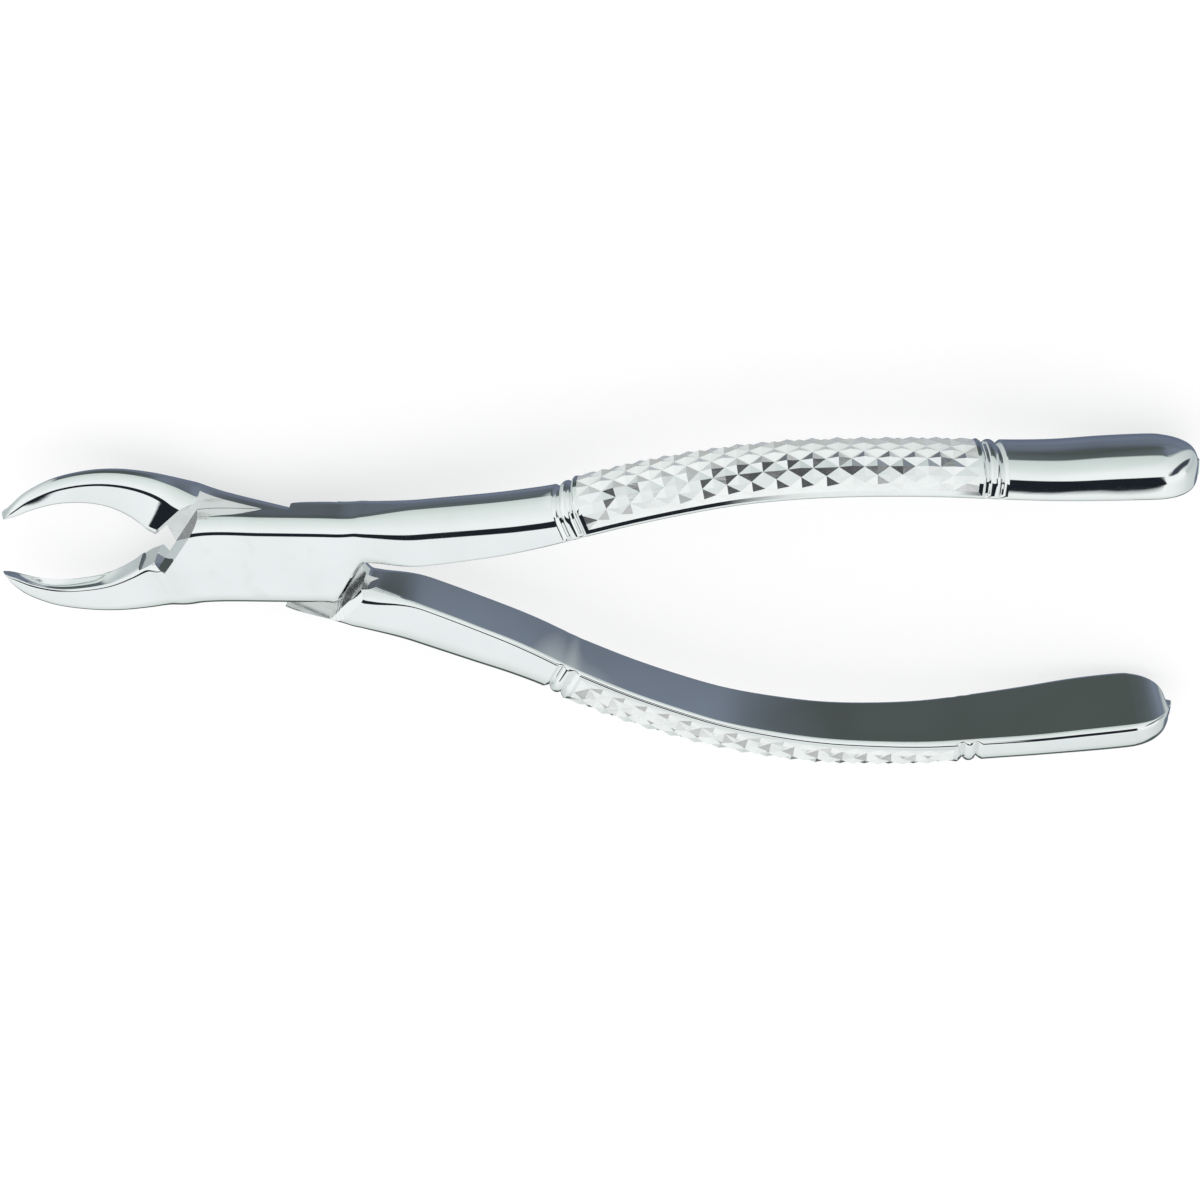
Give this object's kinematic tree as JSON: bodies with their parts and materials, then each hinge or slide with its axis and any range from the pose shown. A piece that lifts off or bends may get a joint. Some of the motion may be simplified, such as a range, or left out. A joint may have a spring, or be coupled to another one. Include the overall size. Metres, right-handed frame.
{
  "type": "extraction forceps",
  "caption": "Dental extraction forceps with slim curved beaks, a flush-riveted lap joint and bowed handles with cross-cut grips that end in smooth palm pads.",
  "frame": {"origin": "centre of the rivet on the joint's flat back face", "axes": "+X from the joint towards the handle ends, along the front half's leaf; +Z along the rivet's axis, out of the joint's front face"},
  "size_m": [0.1737, 0.0611, 0.0297],
  "materials": {
    "polished_steel": "mirror polished stainless steel",
    "rivet_steel": "mirror polished stainless steel"
  },
  "bodies": {
    "front": {"front_half": "polished_steel", "joint_rivet": "rivet_steel"},
    "rear": {"rear_half": "polished_steel"}
  },
  "joints": [
    {"name": "lap_hinge", "type": "hinge", "parent": "front", "child": "rear", "pos_m": [0, 0, 0.0038], "axis": [0, 0, 1], "range_deg": [0, 14.2]}
  ]
}
